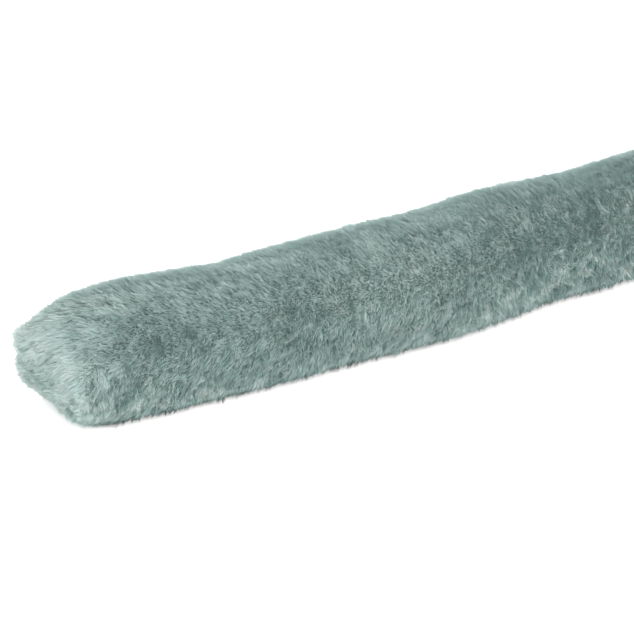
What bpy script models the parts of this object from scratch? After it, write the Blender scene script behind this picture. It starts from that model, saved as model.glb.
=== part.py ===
"""A draught excluder: one long tube of fake fur, stuffed with loose fibre and sewn shut flat at both ends.

The tube lies along X on the floor, with the end that shows best at -X. The floor is z = 0, and the origin
is on the floor under the middle of the tube's box. The solid reaches to the tips of the pile. Lengths are
in metres, except in the tables, which are in millimetres.
"""

import math

import bmesh
import bpy
from mathutils import Vector

MM = 0.001

# The tube as it lies, measured over the pile
TUBE_LENGTH = 0.950
TUBE_WIDTH = 0.142
TUBE_HEIGHT = 0.129
WIDEST_AT = 0.47  # the height of the widest point, as a share of the section's height
CROWN = 0.96  # under 1, the upper half is a little fuller than an ellipse
BELLY = 0.80  # the same for the lower half, which the stuffing's weight presses square
SINK = 1.15  # how far the lower half would reach if the floor didn't stop it

# The sewn ends, where the tube is drawn in to one level seam across its width
SEAM_WIDTH = 0.136
SEAM_HEIGHT = 0.046
SEAM_GROOVE = 0.010  # how far the pile on either side stands out past the stitches
LIP = 0.020  # half the thickness of the end at its seam
TOP_TAPER = 0.078  # how far from the end the top reaches its full height
BELLY_TAPER = 0.050  # how far from the end the underside comes down to the floor
SIDE_TAPER = 0.042  # how far from the end the sides reach the tube's own width
END_SQUARENESS = 0.62  # as CROWN and BELLY, but at the end, whose corners are stuffed full
RISE = 2.4  # how steeply the cloth leaves the seam, and how level it comes out at the end of its taper
ROUNDNESS = 1.9  # 2 would make the taper as round as an ellipse

# The cage that the smooth surface is made from
CAGE_SIDES = 24
CAGE_STEP = 0.033
END_STEPS_MM = (0, 7, 17, 29, 43, 60, 86)
SMOOTHING = 1
WELD = 0.1 * MM  # points closer than this become one, along the lines of stitches

# How the tube lies and swells. along is the distance from the near end, sideways is towards +Y from
# the line between the two ends' middles, and width and height are added to the tube's own.
LIE_COLUMNS = ("along", "sideways", "width", "height")
LIE_MM = (
    (0, 0, 0, 0),
    (60, -2, 0, 0),
    (120, -8, 3, 1),
    (200, -16, -1, -2),
    (280, -18, 0, 0),
    (360, -19, 0, 0),
    (440, -20, 4, 0),
    (510, -17, 3, 3),
    (575, -11, -5, 0),
    (640, -10, -4, -3),
    (720, -7, -2, -1),
    (830, -3, 0, 0),
    (950, 0, 0, 0),
)

# Soft swellings and hollows in the stuffing. around is the angle from +Y over the top in degrees,
# long and wide are how far each reaches along and across the cloth, and out is how far it stands out.
# The first nine shape the near end: its two ears, the notch between them, the slope above them, its
# other corner with the slope above it and the tuck below, and two puckers behind that corner.
SWELL_COLUMNS = ("along", "around", "long", "wide", "out")
SWELLS_MM = (
    (0, 18, 18, 16, 11),
    (0, 332, 20, 16, 9),
    (2, 355, 12, 8, -5),
    (4, 62, 24, 24, -4),
    (10, 145, 24, 30, -9),
    (12, 184, 14, 16, 2),
    (16, 228, 26, 26, -8),
    (46, 193, 11, 17, -4),
    (34, 118, 10, 18, -3),
    (110, 205, 40, 22, 2),
    (168, 60, 40, 40, -2),
    (352, 215, 24, 20, -2),
    (430, 205, 45, 24, 4),
    (556, 212, 26, 24, -3),
    (612, 160, 30, 30, -2),
    (700, 300, 60, 40, 2),
    (770, 30, 50, 40, -2),
)

FUR_GREEN = (0.227, 0.305, 0.287, 1.0)
FUR_ROUGHNESS = 0.9


def clear_scene():
    """Start from an empty scene."""
    for item in list(bpy.data.objects):
        bpy.data.objects.remove(item, do_unlink=True)


def named_rows(columns, table):
    """The rows of a table, as dictionaries."""
    return [dict(zip(columns, row)) for row in table]


def eased(start, end, share):
    """From start to end, fast at first and level at the end, as cloth swells away from a seam."""
    share = max(0.0, min(1.0, share))
    return start + (end - start) * (1 - (1 - share) ** RISE) ** (1 / ROUNDNESS)


def between_rows(rows, column, along):
    """The value of one column on a smooth curve through the rows of a table."""
    last = len(rows) - 1
    i = max(0, min(last - 1, sum(row["along"] <= along for row in rows) - 1))
    before, start, end, after = (rows[max(0, min(last, i + k))][column] for k in (-1, 0, 1, 2))
    t = (along - rows[i]["along"]) / (rows[i + 1]["along"] - rows[i]["along"])
    t = max(0.0, min(1.0, t))
    return 0.5 * (
        2 * start
        + (end - before) * t
        + (2 * before - 5 * start + 4 * end - after) * t**2
        + (3 * start - before - 3 * end + after) * t**3
    )


def swelling(along, around):
    """How far the stuffing pushes the cloth out at one place, in metres."""
    out = 0.0
    girth_per_degree = math.pi * TUBE_HEIGHT / 360
    for row in named_rows(SWELL_COLUMNS, SWELLS_MM):
        turn = (around - row["around"] + 180) % 360 - 180
        off_along = (along - row["along"] * MM) / (row["long"] * MM)
        off_across = turn * girth_per_degree / (row["wide"] * MM)
        out += row["out"] * MM * math.exp(-(off_along**2) - off_across**2)
    return out


def outline_at(along):
    """The sizes of the section at a distance from the near end."""
    lie = named_rows(LIE_COLUMNS, LIE_MM)
    from_end = min(along, TUBE_LENGTH - along)
    width = TUBE_WIDTH + between_rows(lie, "width", along / MM) * MM
    height = TUBE_HEIGHT + between_rows(lie, "height", along / MM) * MM
    foot = eased(SEAM_HEIGHT - LIP, 0.0, from_end / BELLY_TAPER)
    top = eased(SEAM_HEIGHT + LIP, height, from_end / TOP_TAPER)
    return {
        "half_width": eased(SEAM_WIDTH / 2, width / 2, from_end / SIDE_TAPER),
        "foot": foot,
        "top": top,
        "widest": foot + (top - foot) * WIDEST_AT,
        "crown": eased(END_SQUARENESS, CROWN, from_end / TOP_TAPER),
        "belly": eased(END_SQUARENESS, BELLY, from_end / TOP_TAPER),
    }


def beside_middle(along, side, height):
    """The point that lies side to the left of the tube's middle line, square to it, at a height."""
    lie = named_rows(LIE_COLUMNS, LIE_MM)
    before, here, after = (between_rows(lie, "sideways", along / MM + step) for step in (-1, 0, 1))
    across = Vector(((before - after) / 2, 1.0, 0.0)).normalized() * side
    return Vector((along - TUBE_LENGTH / 2, here * MM, height)) + across


def surface_point(along, turn):
    """A point of the tube's surface: along from the near end, turn in radians from +Y over the top."""
    section = outline_at(along)
    reach = 1 + swelling(along, math.degrees(turn)) / section["half_width"]
    side, up = math.cos(turn), math.sin(turn)
    fullness = section["crown"] if up >= 0 else section["belly"]
    y = section["half_width"] * math.copysign(abs(side) ** fullness, side) * reach
    if up >= 0:
        z = section["widest"] + (section["top"] - section["widest"]) * up**fullness * reach
    else:
        depth = SINK * reach * abs(up) ** fullness
        z = max(section["foot"], section["widest"] - (section["widest"] - section["foot"]) * depth)
    return beside_middle(along, y, z)


def seam_point(along, turn):
    """A point of the line of stitches, where the upper and the lower cloth meet."""
    half_seam = SEAM_WIDTH / 2 - SEAM_GROOVE
    return beside_middle(along, half_seam * math.cos(turn), SEAM_HEIGHT)


def stations():
    """Distances from the near end at which the cage has a ring, from end to end."""
    near = [step * MM for step in END_STEPS_MM]
    straight = TUBE_LENGTH - 2 * near[-1]
    count = round(straight / CAGE_STEP)
    middle = [near[-1] + straight * i / count for i in range(1, count)]
    return near + middle + [TUBE_LENGTH - step for step in reversed(near)]


def drawn_on(cage, ring, places):
    """Extrude an open ring of the cage to new places, and give the new ring in the same order."""
    edges = [cage.edges.get((ring[i - 1], ring[i])) for i in range(len(ring))]
    drawn = bmesh.ops.extrude_edge_only(cage, edges=edges)["geom"]
    new_verts = {item for item in drawn if isinstance(item, bmesh.types.BMVert)}
    partners = []
    for vertex in ring:
        across = (edge.other_vert(vertex) for edge in vertex.link_edges)
        partners.append(next(other for other in across if other in new_verts))
    for vertex, place in zip(partners, places):
        vertex.co = place
    return partners


def tube_cage():
    """A coarse cage of the tube: rings drawn along it, and each end drawn in to its line of stitches."""
    cage = bmesh.new()
    turns = [2 * math.pi * i / CAGE_SIDES for i in range(CAGE_SIDES)]
    rings = [[seam_point(SEAM_GROOVE, turn) for turn in turns]]
    rings += [[surface_point(along, turn) for turn in turns] for along in stations()]
    rings += [[seam_point(TUBE_LENGTH - SEAM_GROOVE, turn) for turn in turns]]
    ring = bmesh.ops.create_circle(cage, segments=CAGE_SIDES, radius=TUBE_WIDTH / 2)["verts"]
    for vertex, place in zip(ring, rings[0]):
        vertex.co = place
    for places in rings[1:]:
        ring = drawn_on(cage, ring, places)
    bmesh.ops.remove_doubles(cage, verts=cage.verts, dist=WELD)
    bmesh.ops.recalc_face_normals(cage, faces=cage.faces)
    return cage


def fur_material():
    """Sage green fake fur."""
    material = bpy.data.materials.new("sage_fur")
    material.use_nodes = True
    shader = material.node_tree.nodes["Principled BSDF"]
    shader.inputs["Base Color"].default_value = FUR_GREEN
    shader.inputs["Roughness"].default_value = FUR_ROUGHNESS
    shader.inputs["Metallic"].default_value = 0.0
    return material


def build_tube(collection):
    """The stuffed tube, one solid, with its box centred over the origin."""
    mesh = bpy.data.meshes.new("filled_tube")
    cage = tube_cage()
    cage.to_mesh(mesh)
    cage.free()
    mesh.shade_smooth()
    mesh.materials.append(fur_material())
    tube = bpy.data.objects.new("filled_tube", mesh)
    collection.objects.link(tube)
    smooth = tube.modifiers.new("rounding", "SUBSURF")
    smooth.levels = SMOOTHING
    smooth.render_levels = SMOOTHING
    bpy.context.view_layer.update()
    rounded = tube.evaluated_get(bpy.context.evaluated_depsgraph_get())
    corners = [Vector(corner) for corner in rounded.bound_box]
    for axis in (0, 1):
        low = min(corner[axis] for corner in corners)
        high = max(corner[axis] for corner in corners)
        tube.location[axis] = -(low + high) / 2
    return tube


def build():
    clear_scene()
    collection = bpy.data.collections.new("draught_excluder")
    bpy.context.scene.collection.children.link(collection)
    build_tube(collection)


build()
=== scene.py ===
"""Looks of the draught excluder: a stuffed tube of sage green fake fur, on a pale studio floor.

Everything is in metres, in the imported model's frame: the tube lies along X and the floor is z = 0.
"""

import math

import bmesh
import bpy
import numpy as np
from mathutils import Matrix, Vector, noise


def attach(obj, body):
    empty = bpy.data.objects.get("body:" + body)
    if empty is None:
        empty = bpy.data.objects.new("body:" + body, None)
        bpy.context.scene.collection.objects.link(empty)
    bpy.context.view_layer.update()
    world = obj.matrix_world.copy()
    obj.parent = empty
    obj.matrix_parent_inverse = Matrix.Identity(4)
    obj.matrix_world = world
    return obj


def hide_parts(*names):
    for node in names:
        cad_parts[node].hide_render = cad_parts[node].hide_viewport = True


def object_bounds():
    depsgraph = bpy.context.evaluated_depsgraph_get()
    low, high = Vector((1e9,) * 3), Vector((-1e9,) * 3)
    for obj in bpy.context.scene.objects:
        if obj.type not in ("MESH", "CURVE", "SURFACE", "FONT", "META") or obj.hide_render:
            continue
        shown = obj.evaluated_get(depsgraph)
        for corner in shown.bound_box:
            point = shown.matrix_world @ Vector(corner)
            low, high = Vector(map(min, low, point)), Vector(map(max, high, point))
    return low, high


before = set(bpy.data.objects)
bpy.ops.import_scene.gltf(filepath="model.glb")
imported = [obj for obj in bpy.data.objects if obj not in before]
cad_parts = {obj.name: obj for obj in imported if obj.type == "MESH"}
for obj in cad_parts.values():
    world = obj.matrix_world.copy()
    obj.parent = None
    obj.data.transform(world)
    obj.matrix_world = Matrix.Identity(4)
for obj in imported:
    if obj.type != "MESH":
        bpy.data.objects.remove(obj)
cad_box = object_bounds()
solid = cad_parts["filled_tube"]
near_end = cad_box[0][0]
far_end = cad_box[1][0]
draws = np.random.default_rng(20)

# The cover: knitted backing cloth, cut as one strip, sewn into a tube, stuffed and sewn shut at both
# ends. It lies under the pile, a pile's depth inside the solid, and it is drawn in at the two seams.
PILE_DEPTH = 0.0084
TOP_DEPTH = 0.0062  # of the pile on top, which lies flatter
PRESSED_DEPTH = 0.0045  # of the pile that the tube lies on
END_DEPTH = 0.0045  # of the pile at the sewn ends, whose corners are tight and thin
END_REACH = 0.045
SWELL_ROOM = 0.0012  # how much smaller the cloth is before it is blown up
CLOTH_STEP = 0.0060
FILL_PRESSURE = 4.0
FILL_FRAMES = 20
MOST_SWELL = 0.003
BACKING_GREEN = (0.200, 0.270, 0.255, 1.0)
BACKING_SHADE = (0.140, 0.200, 0.187, 1.0)
KNIT_SCALE = 260.0


def merged_copy(source, name):
    """A copy of a CAD node as one closed mesh."""
    shape = bmesh.new()
    shape.from_mesh(source.data)
    bmesh.ops.remove_doubles(shape, verts=shape.verts, dist=0.00001)
    mesh = bpy.data.meshes.new(name)
    shape.to_mesh(mesh)
    shape.free()
    copy = bpy.data.objects.new(name, mesh)
    bpy.context.scene.collection.objects.link(copy)
    return copy


def with_modifiers_applied(piece):
    """The piece with its modifiers made part of its mesh."""
    bpy.context.view_layer.update()
    settled = bpy.data.meshes.new_from_object(piece.evaluated_get(bpy.context.evaluated_depsgraph_get()))
    piece.modifiers.clear()
    piece.data = settled
    return piece


def vertex_places(mesh):
    """The mesh's vertices and their normals, as two arrays."""
    count = len(mesh.vertices)
    places = np.empty(count * 3)
    normals = np.empty(count * 3)
    mesh.vertices.foreach_get("co", places)
    mesh.vertices.foreach_get("normal", normals)
    return places.reshape(-1, 3), normals.reshape(-1, 3)


def move_vertices(mesh, places):
    mesh.vertices.foreach_set("co", np.ascontiguousarray(places, dtype=float).ravel())
    mesh.update()


def smoothed(mesh, times):
    """Evens out the small steps that a remesh leaves."""
    shape = bmesh.new()
    shape.from_mesh(mesh)
    for _ in range(times):
        bmesh.ops.smooth_vert(
            shape, verts=shape.verts, factor=0.5, use_axis_x=True, use_axis_y=True, use_axis_z=True
        )
    shape.to_mesh(mesh)
    shape.free()
    mesh.update()


def blown_up(piece, frames, pressure, most):
    """Lets the stuffing push the cloth out, and caps how far any point moves."""
    before, _ = vertex_places(piece.data)
    cloth = piece.modifiers.new("filling", "CLOTH")
    cloth.settings.quality = 4
    cloth.settings.mass = 0.3
    cloth.settings.tension_stiffness = 8
    cloth.settings.compression_stiffness = 8
    cloth.settings.bending_stiffness = 0.4
    cloth.settings.use_pressure = True
    cloth.settings.uniform_pressure_force = pressure
    cloth.settings.effector_weights.gravity = 0
    cloth.collision_settings.use_collision = False
    cloth.point_cache.frame_start = 1
    cloth.point_cache.frame_end = frames
    scene = bpy.context.scene
    for number in range(1, frames + 1):
        scene.frame_set(number)
    with_modifiers_applied(piece)
    scene.frame_set(1)
    after, _ = vertex_places(piece.data)
    move = after - before
    length = np.linalg.norm(move, axis=1, keepdims=True)
    print("cover moved, mm", 1000 * np.quantile(length, [0.1, 0.5, 0.9, 1.0]))
    move_vertices(piece.data, before + move * np.minimum(1, most / np.maximum(length, 1e-9)))


cover = merged_copy(solid, "cover")
even = cover.modifiers.new("even", "REMESH")
even.mode = "VOXEL"
even.voxel_size = CLOTH_STEP
with_modifiers_applied(cover)
smoothed(cover.data, 2)
places, outward = vertex_places(cover.data)
facing_floor = np.clip(-1.3 * outward[:, 2], 0, 1) * np.clip((0.035 - places[:, 2]) / 0.02, 0, 1)
from_end = np.minimum(places[:, 0] - near_end, far_end - places[:, 0])
at_end = np.clip(1 - from_end / END_REACH, 0, 1)
depth = PILE_DEPTH + (TOP_DEPTH - PILE_DEPTH) * np.clip(outward[:, 2], 0, 1) ** 2
depth += (END_DEPTH - depth) * at_end
depth += (PRESSED_DEPTH - depth) * facing_floor
move_vertices(cover.data, places - outward * (depth + SWELL_ROOM)[:, None])
blown_up(cover, FILL_FRAMES, FILL_PRESSURE, MOST_SWELL)
places, outward = vertex_places(cover.data)
places[:, 2] = np.maximum(places[:, 2], PRESSED_DEPTH)
move_vertices(cover.data, places)
cover.data.shade_smooth()
print("cover faces", len(cover.data.polygons))

backing = bpy.data.materials.new("knitted_backing")
backing.use_nodes = True
nodes, links = backing.node_tree.nodes, backing.node_tree.links
backing_shader = nodes["Principled BSDF"]
backing_shader.inputs["Roughness"].default_value = 0.95
cloth_place = nodes.new("ShaderNodeTexCoord")
loops_across = nodes.new("ShaderNodeTexWave")
loops_across.bands_direction = "X"
loops_across.inputs["Scale"].default_value = KNIT_SCALE
loops_across.inputs["Distortion"].default_value = 1.5
knit_colours = nodes.new("ShaderNodeValToRGB")
knit_colours.color_ramp.elements[0].color = BACKING_SHADE
knit_colours.color_ramp.elements[1].color = BACKING_GREEN
knit_bump = nodes.new("ShaderNodeBump")
knit_bump.inputs["Strength"].default_value = 0.5
knit_bump.inputs["Distance"].default_value = 0.0004
links.new(cloth_place.outputs["Object"], loops_across.inputs["Vector"])
links.new(loops_across.outputs["Fac"], knit_colours.inputs["Fac"])
links.new(loops_across.outputs["Fac"], knit_bump.inputs["Height"])
links.new(knit_colours.outputs["Color"], backing_shader.inputs["Base Color"])
links.new(knit_bump.outputs["Normal"], backing_shader.inputs["Normal"])
cover.data.materials.clear()
cover.data.materials.append(backing)
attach(cover, "root")
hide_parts("filled_tube")

# The pile: short dense fur, knitted into the backing and brushed towards the near end. Its fibres stand
# in small locks whose tips draw together, over a finer and shorter undercoat. It fans out at the corners
# of the sewn ends, and handling has parted it and laid it otherwise in a few places.
LOCKS_ACROSS_FACE = 2
LOCK_SPREAD = 0.0015
LONG_FIBRES = 2.8
SHORT_FIBRES = 4.4
STRAY_FIBRES = 0.25
LONG_FIBRE = {"length": 0.0140, "width": 0.00050, "uneven": 0.11, "turn": 0.28, "drawn": 0.45, "tone": 0.0}
SHORT_FIBRE = {"length": 0.0116, "width": 0.00055, "uneven": 0.22, "turn": 0.28, "drawn": 0.45, "tone": -0.02}
STRAY_FIBRE = {"length": 0.0128, "width": 0.00055, "uneven": 0.10, "turn": 0.90, "drawn": 0.0, "tone": 0.18}
ROOT_LEAN = math.radians(16)
TIP_LEAN = math.radians(48)
ROOT_SHARE = 0.7  # how far a root follows what is added to its tip's lean
LEAN_SWAY = math.radians(15)
TOP_LEAN = math.radians(16)  # added to the lean on top of the tube, where hands brush it flat
TOP_SHORTER = 0.08
LOW_LEAN = math.radians(17)  # added to the lean low on the tube's sides
END_LEAN = math.radians(4)  # added to the lean where the cloth faces along the tube
# painted light: the pile at both sewn ends is paler, as if lit more
END_PAINTED_LIGHT = 0.27
# painted light: the top of the tube is paler, as if lit more
TOP_PAINTED_LIGHT = 0.05
FLOOR_SHORTER = 0.22  # pile near the floor, rubbed short by it, at the ends twice as much
# painted shade: pile near the floor is darker, less so at the ends
FLOOR_PAINTED_SHADE = 0.68
FLOOR_REACH = 0.020
SHADE_PAINT_HEIGHT = 0.013  # pile hanging lower than this is darkened with painted shade, but hardly at the ends
DARKEST_OWN_TONE = 0.12  # on the scale of tones, whose lowest part is for painted shade near the floor
TIP_REACH = 0.008  # how far a tip is from its root, both outwards and along the cloth
PATCH_SIZE = 0.040
SWIRL_SIZE = 0.016
TUFT_SIZE = 0.013
GAPE_SIZE = 0.0070
CLUMP_SIZE = 0.0055
SEAM_HEIGHT = 0.046
SEAM_REACH = 0.009
SEAM_LONGER = 0.15  # fibres that fill the groove along the end seams
PIECES = 5

# Where the pile fans out from a corner, downwards and to the sides; above the corner it hardly turns.
# Places are in millimetres: along from the near end, then the frame's y and z. reach is how far the fan
# goes, push is how strongly it turns the fibres, and longer is the share by which they are longer at its
# middle.
FAN_COLUMNS = ("along", "y", "z", "reach", "push", "longer")
FANS_MM = (
    (23, -54, 79, 24, 1.3, 0.00),
    (3, 74, 56, 24, 0.9, 0.20),
    (942, -60, 46, 26, 0.8, 0.10),
    (942, 70, 46, 26, 0.8, 0.10),
)

# Where hands have brushed the pile: lean is added to the fibres' own lean, in degrees, tone is painted light
# and shade that makes them paler or darker, as brushed pile looks under light, and longer is a share of their
# length.
BRUSHED_COLUMNS = ("along", "y", "z", "reach", "lean", "tone", "longer")
BRUSHED_MM = (
    (660, -15, 123, 46, -4, -0.20, 0.0),
    (521, -77, 70, 32, -4, -0.18, 0.0),
    (92, -54, 102, 22, -4, -0.16, 0.0),
    (165, -76, 56, 60, 9, -0.12, 0.0),
    (17, -40, 88, 16, -4, -0.04, 0.0),
    (240, -75, 82, 40, -4, 0.00, 0.0),
    (68, -58, 92, 40, -4, -0.04, 0.0),
    (30, -60, 66, 20, 0, 0.08, 0.0),
    (553, -73, 65, 26, 0, -0.16, 0.0),
    (562, -60, 100, 18, 0, 0.08, 0.0),
    (619, -54, 102, 20, 0, -0.14, 0.0),
    (670, -56, 100, 22, 0, 0.18, 0.0),
    (661, -69, 63, 24, 0, -0.14, 0.0),
    (120, -30, 122, 50, 4, 0.03, 0.0),
    (361, -76, 86, 34, 4, 0.12, 0.0),
    (500, -62, 110, 40, 4, 0.04, 0.0),
    (205, 12, 127, 26, 0, 0.0, -0.45),
    (365, -72, 15, 26, 0, 0.0, 0.30),
    (276, -2, 128, 30, 0, 0.0, -0.48),
    (465, 0, 129, 40, 0, 0.0, -0.45),
    (673, 6, 126, 34, 0, 0.0, -0.52),
    (555, -10, 129, 30, 0, 0.0, 0.32),
    (43, 4, 123, 30, 0, 0.10, 0.10),
    (6, 68, 80, 16, 0, 0.0, -0.14),
    (4, 20, 47, 12, -10, -0.30, 0.0),
    (4, -4, 48, 8, -10, -0.25, 0.0),
    (3, 62, 54, 10, -10, -0.25, 0.0),
    (0, -23, 66, 14, 4, 0.02, 0.0),
    (3, -47, 41, 18, 4, 0.00, 0.0),
    (4, -48, 58, 12, 0, -0.14, 0.0),
    (3, 33, 68, 14, 4, 0.06, 0.0),
    (5, 1, 88, 9, -10, -0.20, 0.0),
    (11, -20, 97, 9, -10, -0.20, 0.0),
    (2, 72, 36, 16, 0, 0.0, 0.25),
    (0, 66, 62, 12, 0, 0.0, 0.50),
    (2, 44, 20, 22, 0, 0.0, -0.36),
    (1, 5, 18, 24, 0, 0.0, -0.36),
    (0, -36, 22, 18, 0, -0.10, -0.42),
    (8, -55, 26, 14, 0, -0.12, -0.28),
    (20, -50, 12, 14, 0, 0.0, -0.42),
)

# Where the pile is parted or gapes between two locks: from one place to another, how far its sides are
# pushed back, and how much painted shade darkens it there.
PARTING_COLUMNS = ("along", "y", "z", "to_along", "to_y", "to_z", "reach", "push", "darker")
PARTINGS_MM = (
    (42, -59, 34, 53, -64, 49, 6, 1.3, 0.45),
    (29, -16, 113, 50, -32, 113, 5, 0.8, 0.25),
    (344, -72, 19, 348, -72, 22, 6, 1.0, 0.25),
    (569, -61, 19, 575, -61, 21, 6, 1.0, 0.25),
    (17, -53, 76, 10, -58, 61, 3, 0.3, 0.30),
    (31, -58, 75, 35, -61, 56, 3, 0.3, 0.35),
    (45, -61, 74, 47, -62, 66, 3, 0.4, 0.45),
    (80, -61, 89, 84, -64, 81, 5, 0.5, 0.55),
    (112, -61, 97, 118, -65, 89, 4, 0.4, 0.50),
    (594, -69, 59, 594, -68, 43, 4, 0.4, 0.50),
    (626, -69, 50, 626, -68, 44, 4, 0.4, 0.50),
    (624, -65, 29, 620, -62, 22, 4, 0.5, 0.50),
)


def in_metres(row, *names):
    """A place from a table's row, in the frame."""
    along, y, z = (row[name] * 0.001 for name in names)
    return np.array([near_end + along, y, z])


def unit(vectors):
    return vectors / np.maximum(np.linalg.norm(vectors, axis=1, keepdims=True), 1e-12)


def along_surface(vectors, normals):
    """The part of each vector that lies along the surface."""
    return vectors - normals * (vectors * normals).sum(1, keepdims=True)


def wander(places, size, shift):
    """A smooth random vector at each place, which changes over about one size."""
    moved = (Vector(place) / size + Vector(shift) for place in places)
    return np.array([noise.noise_vector(place) for place in moved])


face_count = len(cover.data.polygons)
corner_of = np.empty(face_count * 4, dtype=np.int32)
cover.data.loops.foreach_get("vertex_index", corner_of)
corner_of = np.repeat(corner_of.reshape(-1, 4), LOCKS_ACROSS_FACE**2, axis=0)
lock_count = len(corner_of)
places, outward = vertex_places(cover.data)
row_of, column_of = np.divmod(np.tile(np.arange(LOCKS_ACROSS_FACE**2), face_count), LOCKS_ACROSS_FACE)
over = ((column_of + draws.uniform(0, 1, lock_count)) / LOCKS_ACROSS_FACE)[:, None]
up = ((row_of + draws.uniform(0, 1, lock_count)) / LOCKS_ACROSS_FACE)[:, None]
shares = ((1 - over) * (1 - up), over * (1 - up), over * up, (1 - over) * up)
lock_at = sum(share * places[corner_of[:, i]] for i, share in enumerate(shares))
lock_out = unit(sum(share * outward[corner_of[:, i]] for i, share in enumerate(shares)))

patch = wander(lock_at, PATCH_SIZE, (3.1, 0.0, 7.7))
swirl = wander(lock_at, SWIRL_SIZE, (0.0, 8.3, 2.9))
tuft = wander(lock_at, TUFT_SIZE, (11.0, 5.0, 0.0))
clump = wander(lock_at, CLUMP_SIZE, (0.0, 2.2, 6.1))
gape = np.clip(2 * wander(lock_at, GAPE_SIZE, (4.4, 0.0, 9.2))[:, 0] - 0.8, 0, 1)

flow = np.zeros_like(lock_at)
flow[:, 0] = -1.0
from_end = np.minimum(lock_at[:, 0] - near_end, far_end - lock_at[:, 0])
at_end = np.clip(1 - from_end / END_REACH, 0, 1)
from_seam = np.clip((lock_at[:, 2] - SEAM_HEIGHT) / 0.03, -0.4, 1)
end_face = lock_out[:, 0] ** 2 * at_end
flow[:, 2] -= from_seam * end_face * 0.9
flow[:, 1] += np.clip(lock_at[:, 1] / 0.05, -1, 1) * end_face * 0.4
ruffled = np.clip(1.2 - 0.75 * lock_out[:, 2], 0.48, 1.4)
ruffled *= 1 + 0.35 * np.clip((lock_at[:, 0] - near_end - 0.45) / 0.15, 0, 1)
flow += patch * 0.3 + swirl * (0.3 + 0.9 * at_end)[:, None]
flow += 0.6 * (tuft + clump) * (ruffled + 0.4 * at_end)[:, None]
on_top = np.clip(lock_out[:, 2], 0, 1) ** 2
flank = np.clip(0.4 - lock_out[:, 2], 0, 1) * (1 - at_end)
lean_more = TOP_LEAN * on_top + LOW_LEAN * flank + END_LEAN * end_face
at_seam = np.exp(-(((lock_at[:, 2] - SEAM_HEIGHT) / SEAM_REACH) ** 2)) * end_face
low = np.clip(1 - lock_at[:, 2] / FLOOR_REACH, 0, 1)
longer = SEAM_LONGER * at_seam - TOP_SHORTER * on_top * (1 - at_end) - FLOOR_SHORTER * low * (1 + at_end)
longer -= 0.3 * gape * ruffled
# painted shade: the gapes between locks are darker
painted_light_and_shade = END_PAINTED_LIGHT * at_end + TOP_PAINTED_LIGHT * on_top - 0.5 * gape * ruffled
# painted shade: pile near the floor is darker, less so at the ends
painted_light_and_shade -= FLOOR_PAINTED_SHADE * low * (1 - 0.8 * at_end)
for row in (dict(zip(FAN_COLUMNS, row)) for row in FANS_MM):
    away = lock_at - in_metres(row, "along", "y", "z")
    distance = np.linalg.norm(away, axis=1) / (row["reach"] * 0.001)
    falls = np.clip(0.5 - 2 * away[:, 2] / (row["reach"] * 0.001), 0.15, 1)
    flow += unit(along_surface(away, lock_out)) * (row["push"] * falls * np.exp(-(distance**2)))[:, None]
    lean_more -= math.radians(6) * np.exp(-((distance * 2.5) ** 2))
    longer += row["longer"] * np.exp(-(distance**2))
tip_at = lock_at + TIP_REACH * (lock_out + unit(along_surface(flow, lock_out)))
for row in (dict(zip(BRUSHED_COLUMNS, row)) for row in BRUSHED_MM):
    away = tip_at - in_metres(row, "along", "y", "z")
    brushed = np.exp(-((np.linalg.norm(away, axis=1) / (row["reach"] * 0.001)) ** 2))
    lean_more += math.radians(row["lean"]) * brushed
    # painted light and shade of brushed pile
    painted_light_and_shade += row["tone"] * brushed
    longer += row["longer"] * brushed
for row in (dict(zip(PARTING_COLUMNS, row)) for row in PARTINGS_MM):
    start, end = in_metres(row, "along", "y", "z"), in_metres(row, "to_along", "to_y", "to_z")
    line = end - start
    share = np.clip((tip_at - start) @ line / (line @ line), 0, 1)[:, None]
    away = tip_at - start - share * line
    near_line = np.linalg.norm(away, axis=1) < 0.02
    away = along_surface(away, lock_out)
    near_line = near_line * np.exp(-((np.linalg.norm(away, axis=1) / (row["reach"] * 0.001)) ** 2))
    flow += unit(away) * (row["push"] * near_line)[:, None]
    # painted shade in the parting
    painted_light_and_shade -= row["darker"] * near_line
    longer -= 0.4 * near_line
flow = unit(along_surface(flow, lock_out))

sway = 0.8 * tuft[:, 1] + 1.8 * clump[:, 1] + draws.uniform(-0.7, 0.7, lock_count)
lock_lean = lean_more + LEAN_SWAY * (0.3 * patch[:, 0] + ruffled * sway)
near_floor = np.clip(1 - lock_at[:, 2] / 0.03, 0, 1)
lock_length = 1 + longer + 0.08 * tuft[:, 2] + 0.15 * ruffled * (1 - 0.7 * near_floor) * clump[:, 2]
lock_length += draws.uniform(-0.07, 0.07, lock_count)
lock_tone = 0.16 * tuft[:, 0] + 0.28 * clump[:, 0] + draws.uniform(-0.1, 0.1, lock_count)
calm = np.maximum(on_top, at_end)
mottled = np.exp(-(((lock_at[:, 0] - near_end - 0.14) / 0.06) ** 2))
mottled += 0.6 * np.clip((lock_at[:, 0] - near_end - 0.45) / 0.15, 0, 1)
lock_tone *= ruffled * (1 - 0.6 * at_end) * (1 + 0.5 * mottled * (1 - calm))
# the lock's tone: its own, plus painted light and shade
lock_tone += 0.5 + painted_light_and_shade + 0.15 * patch[:, 2] * (1 - 0.6 * calm)
speckle = 0.16 * np.minimum(1.2, ruffled) * (1 - 0.8 * calm)
drawn = 1 - 0.6 * np.maximum(calm, near_floor)
under = np.clip(-lock_out[:, 2], 0, 1) ** 6 * np.clip((0.03 - lock_at[:, 2]) / 0.02, 0, 1)


def leaning(upright, ahead, angle):
    """The directions that lean from upright towards ahead by an angle."""
    return upright * np.cos(angle) + ahead * np.sin(angle)


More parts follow.
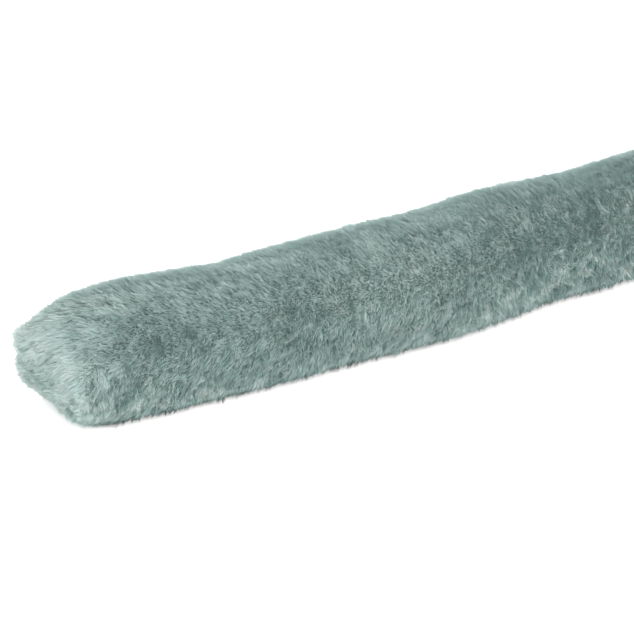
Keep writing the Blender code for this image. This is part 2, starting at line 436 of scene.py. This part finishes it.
def fibres(kind, number, bends):
    """Every fibre of one kind, as arrays: their points, their side vectors, widths and tones."""
    share = number * (1 - 0.7 * under)
    counts = np.floor(share + draws.uniform(0, 1, lock_count)).astype(int)
    own = np.repeat(np.arange(lock_count), counts)
    total = len(own)
    aside = draws.normal(0, LOCK_SPREAD, (total, 2))
    normal, ahead = lock_out[own], flow[own]
    beside = np.cross(normal, ahead)
    shift = ahead * aside[:, :1] + beside * aside[:, 1:]
    root = lock_at[own] + shift
    normal = unit(normal + shift / 0.06)
    turn = (draws.normal(0, kind["turn"], total) * (1 + 0.6 * at_end[own]))[:, None]
    ahead = unit(along_surface(ahead * np.cos(turn) + beside * np.sin(turn), normal))
    sway = (lock_lean[own] + draws.normal(0, 0.12, total) * (1 - 0.6 * on_top[own]))[:, None]
    first = leaning(normal, ahead, ROOT_LEAN + ROOT_SHARE * sway)
    last = leaning(normal, ahead, TIP_LEAN + sway)
    long = kind["length"] * lock_length[own] * (1 + draws.normal(0, kind["uneven"], total))
    long = np.clip(long, 0.4 * kind["length"], 1.5 * kind["length"])[:, None]
    lock_first = leaning(lock_out, flow, ROOT_LEAN + ROOT_SHARE * lock_lean[:, None])
    lock_last = leaning(lock_out, flow, TIP_LEAN + lock_lean[:, None])
    points = []
    for step in range(bends + 2):
        h = step / (bends + 1)
        free = root + long * (first * (h - h * h / 2) + last * (h * h / 2))
        middle = lock_at[own] + long * (lock_first[own] * (h - h * h / 2) + lock_last[own] * (h * h / 2))
        points.append(free + (middle - free) * (kind["drawn"] * h) * drawn[own][:, None])
    roll = (draws.normal(0, 0.7, total) * (1 - 0.7 * calm[own]))[:, None]
    heading = unit(points[-1] - points[0])
    face_out = unit(along_surface(normal, heading))
    other = np.cross(heading, face_out)
    side = other * np.cos(roll) + face_out * np.sin(roll)
    width = kind["width"] * (1 + draws.uniform(-0.3, 0.3, total))
    tone = lock_tone[own] + kind["tone"] + draws.normal(0, 1, total) * speckle[own]
    tone = np.clip(tone, DARKEST_OWN_TONE, 0.99)
    return {"points": points, "side": side, "width": width, "tone": tone, "own": own}


def spindle(bends):
    """One flat fibre as a template: x is -1 or 1 at its edges, y runs from 0 at the root to 1 at the tip."""
    shape = bmesh.new()
    bmesh.ops.create_grid(shape, x_segments=1, y_segments=bends + 1, size=1.0)
    for vertex in shape.verts:
        vertex.co.y = (vertex.co.y + 1) / 2
    for y in (0.0, 1.0):
        pair = [vertex for vertex in shape.verts if abs(vertex.co.y - y) < 0.001]
        bmesh.ops.pointmerge(shape, verts=pair, merge_co=(0, y, 0))
    bmesh.ops.triangulate(shape, faces=shape.faces)
    shape.verts.index_update()
    corners = np.array([[vertex.co.x, vertex.co.y] for vertex in shape.verts])
    faces = np.array([[vertex.index for vertex in face.verts] for face in shape.faces])
    shape.free()
    return corners, faces


def grown(kind, number, bends):
    """All the fibres of one kind as vertices, triangles and a place on the colour map for each vertex."""
    corners, faces = spindle(bends)
    made = fibres(kind, number, bends)
    count = len(made["tone"])
    vertices = np.empty((count, len(corners), 3))
    shades = np.empty((count, len(corners), 2))
    shade_paintable = 1 - at_end[made["own"]]
    for i, (edge, h) in enumerate(corners):
        middle = made["points"][round(h * (bends + 1))]
        vertices[:, i] = middle + made["side"] * (made["width"] * 0.5 * edge)[:, None]
        # painted shade on the parts of fibres that hang near the floor, not at the ends
        painted_shade = np.clip((SHADE_PAINT_HEIGHT - middle[:, 2]) / 0.006, 0, 1) * shade_paintable
        shades[:, i, 0] = made["tone"] * (1 - painted_shade) + 0.01 * painted_shade + edge / 1024
        shades[:, i, 1] = 0.02 + 0.96 * h
    pressed = draws.uniform(0.0003, 0.0015, count)[:, None]
    vertices[:, :, 2] = np.maximum(vertices[:, :, 2], pressed)
    return {
        "vertices": vertices,
        "shades": shades,
        "faces": faces,
        "at": lock_at[made["own"], 0],
        "corners": len(corners),
    }


def joined(name, sets):
    """One mesh object from several sets of fibres."""
    vertices = np.concatenate([part["vertices"].reshape(-1, 3) for part in sets])
    shades = np.concatenate([part["shades"].reshape(-1, 2) for part in sets])
    triangles = []
    first = 0
    for part in sets:
        starts = first + np.arange(len(part["vertices"])) * part["corners"]
        triangles.append((part["faces"][None] + starts[:, None, None]).reshape(-1, 3))
        first += len(part["vertices"]) * part["corners"]
    triangles = np.concatenate(triangles)
    mesh = bpy.data.meshes.new(name)
    mesh.vertices.add(len(vertices))
    mesh.vertices.foreach_set("co", vertices.ravel())
    mesh.loops.add(triangles.size)
    mesh.loops.foreach_set("vertex_index", triangles.ravel().astype(np.int32))
    mesh.polygons.add(len(triangles))
    mesh.polygons.foreach_set("loop_start", np.arange(0, triangles.size, 3, dtype=np.int32))
    mesh.update(calc_edges=True)
    colour_map = mesh.uv_layers.new(name="OFBake")
    colour_map.data.foreach_set("uv", shades[triangles.ravel()].ravel())
    mesh.validate()
    piece = bpy.data.objects.new(name, mesh)
    bpy.context.scene.collection.objects.link(piece)
    return piece


# the lowest tone is painted shade, for pile hanging near the floor
TIP_PAINTED_SHADE = (0.110, 0.120, 0.115, 1.0)
TIP_DARK = (0.280, 0.400, 0.388, 1.0)
TIP_MIDDLE = (0.485, 0.590, 0.575, 1.0)
TIP_LIGHT = (0.765, 0.785, 0.760, 1.0)
ROOT_SHADE = (0.71, 0.84, 0.83, 1.0)  # of the tip's own colour
LET_THROUGH = 0.35  # the share of light that passes through a fibre
fur = bpy.data.materials.new("sage_fur")
fur.use_nodes = True
nodes, links = fur.node_tree.nodes, fur.node_tree.links
fur_shader = nodes["Principled BSDF"]
colour_place = nodes.new("ShaderNodeUVMap")
colour_place.uv_map = "OFBake"
place_parts = nodes.new("ShaderNodeSeparateXYZ")
tones = nodes.new("ShaderNodeValToRGB")
# the ramp's lowest stop is painted shade
tones.color_ramp.elements[0].color = TIP_PAINTED_SHADE
tones.color_ramp.elements[1].color = TIP_LIGHT
tones.color_ramp.elements.new(DARKEST_OWN_TONE).color = TIP_DARK
tones.color_ramp.elements.new(0.5).color = TIP_MIDDLE
root_to_tip = nodes.new("ShaderNodeValToRGB")
root_to_tip.color_ramp.elements[0].color = ROOT_SHADE
root_to_tip.color_ramp.elements[0].position = 0.1
root_to_tip.color_ramp.elements[1].position = 0.85
shaded = nodes.new("ShaderNodeMix")
shaded.data_type = "RGBA"
shaded.blend_type = "MULTIPLY"
shaded.inputs["Factor"].default_value = 1.0
links.new(colour_place.outputs["UV"], place_parts.inputs["Vector"])
links.new(place_parts.outputs["X"], tones.inputs["Fac"])
links.new(place_parts.outputs["Y"], root_to_tip.inputs["Fac"])
links.new(tones.outputs["Color"], shaded.inputs["A"])
links.new(root_to_tip.outputs["Color"], shaded.inputs["B"])
links.new(shaded.outputs["Result"], fur_shader.inputs["Base Color"])
fur_shader.inputs["Roughness"].default_value = 0.65
fur_shader.inputs["Specular IOR Level"].default_value = 0.25
fur_shader.inputs["Sheen Weight"].default_value = 0.14
fur_shader.inputs["Sheen Roughness"].default_value = 0.4
light_through = nodes.new("ShaderNodeBsdfTranslucent")
fibre_surface = nodes.new("ShaderNodeMixShader")
fibre_surface.inputs["Fac"].default_value = LET_THROUGH
links.new(shaded.outputs["Result"], light_through.inputs["Color"])
links.new(fur_shader.outputs["BSDF"], fibre_surface.inputs[1])
links.new(light_through.outputs["BSDF"], fibre_surface.inputs[2])
links.new(fibre_surface.outputs["Shader"], nodes["Material Output"].inputs["Surface"])

coats = [grown(LONG_FIBRE, LONG_FIBRES, 1), grown(SHORT_FIBRE, SHORT_FIBRES, 1)]
coats.append(grown(STRAY_FIBRE, STRAY_FIBRES, 1))
cuts = np.quantile(coats[0]["at"], np.linspace(0, 1, PIECES + 1))
cuts[0], cuts[-1] = -9, 9
for number in range(PIECES):
    stretch = []
    for coat in coats:
        inside = (coat["at"] >= cuts[number]) & (coat["at"] < cuts[number + 1])
        stretch.append({**coat, "vertices": coat["vertices"][inside], "shades": coat["shades"][inside]})
    pile = joined(f"pile_{number + 1}", stretch)
    pile.data.materials.append(fur)
    print(pile.name, "triangles", len(pile.data.polygons))
    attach(pile, "root")

# The studio: a white floor that glows a little, as a light table does, white walls under a greyer
# ceiling, a large soft lamp in front, a small one above the near half, and the photograph's camera.
CAMERA_AZIMUTH = math.radians(-33.4)
CAMERA_ELEVATION = math.radians(24.5)
CAMERA_DISTANCE = 2.6
CAMERA_FIELD = math.radians(14.415)
CAMERA_TARGET = Vector((-0.1629, 0.0, 0.0392))
FLOOR_SIZE = 12.0
FLOOR_GLOW = 0.52
FLOOR_WHITE = (0.94, 0.925, 0.915, 1)

shape = bmesh.new()
bmesh.ops.create_grid(shape, x_segments=1, y_segments=1, size=FLOOR_SIZE / 2)
floor_mesh = bpy.data.meshes.new("floor")
shape.to_mesh(floor_mesh)
shape.free()
floor = bpy.data.objects.new("floor", floor_mesh)
bpy.context.scene.collection.objects.link(floor)
white = bpy.data.materials.new("studio_white")
white.use_nodes = True
white_shader = white.node_tree.nodes["Principled BSDF"]
white_shader.inputs["Base Color"].default_value = FLOOR_WHITE
white_shader.inputs["Roughness"].default_value = 0.9
white_shader.inputs["Emission Color"].default_value = FLOOR_WHITE
white_shader.inputs["Emission Strength"].default_value = FLOOR_GLOW
floor.data.materials.append(white)

back = Vector(
    (
        math.sin(CAMERA_AZIMUTH) * math.cos(CAMERA_ELEVATION),
        -math.cos(CAMERA_AZIMUTH) * math.cos(CAMERA_ELEVATION),
        math.sin(CAMERA_ELEVATION),
    )
)
lens = bpy.data.cameras.new("camera")
lens.sensor_width = 36
lens.angle = CAMERA_FIELD
camera = bpy.data.objects.new("camera", lens)
camera.location = CAMERA_TARGET + back * CAMERA_DISTANCE
camera.rotation_euler = back.to_track_quat("Z", "Y").to_euler()
bpy.context.scene.collection.objects.link(camera)
bpy.context.scene.camera = camera


def soft_lamp(name, place, aim, size, power, colour):
    lamp = bpy.data.lights.new(name, "AREA")
    lamp.shape = "SQUARE"
    lamp.size = size
    lamp.energy = power
    lamp.color = colour
    stand = bpy.data.objects.new(name, lamp)
    stand.location = place
    stand.rotation_euler = (Vector(place) - Vector(aim)).to_track_quat("Z", "Y").to_euler()
    stand.visible_camera = False
    bpy.context.scene.collection.objects.link(stand)


soft_lamp("front", (-0.70, -2.15, 1.35), (-0.10, 0.0, 0.05), 1.5, 45, (1.0, 0.975, 0.94))
soft_lamp("top", (-0.25, 0.22, 0.62), (-0.30, 0.0, 0.08), 1.3, 7.4, (1.0, 0.98, 0.95))

WALL_WHITE = (0.955, 0.985, 1.0, 1.0)
CEILING_GREY = (0.35, 0.37, 0.385, 1.0)
world = bpy.data.worlds.new("studio")
world.use_nodes = True
nodes, links = world.node_tree.nodes, world.node_tree.links
sky_place = nodes.new("ShaderNodeTexCoord")
sky_parts = nodes.new("ShaderNodeSeparateXYZ")
room = nodes.new("ShaderNodeValToRGB")
room.color_ramp.elements[0].color = WALL_WHITE
room.color_ramp.elements[1].color = CEILING_GREY
links.new(sky_place.outputs["Generated"], sky_parts.inputs["Vector"])
links.new(sky_parts.outputs["Z"], room.inputs["Fac"])
links.new(room.outputs["Color"], nodes["Background"].inputs["Color"])
nodes["Background"].inputs["Strength"].default_value = 1.65
bpy.context.scene.world = world
bpy.context.scene.view_settings.view_transform = "Standard"
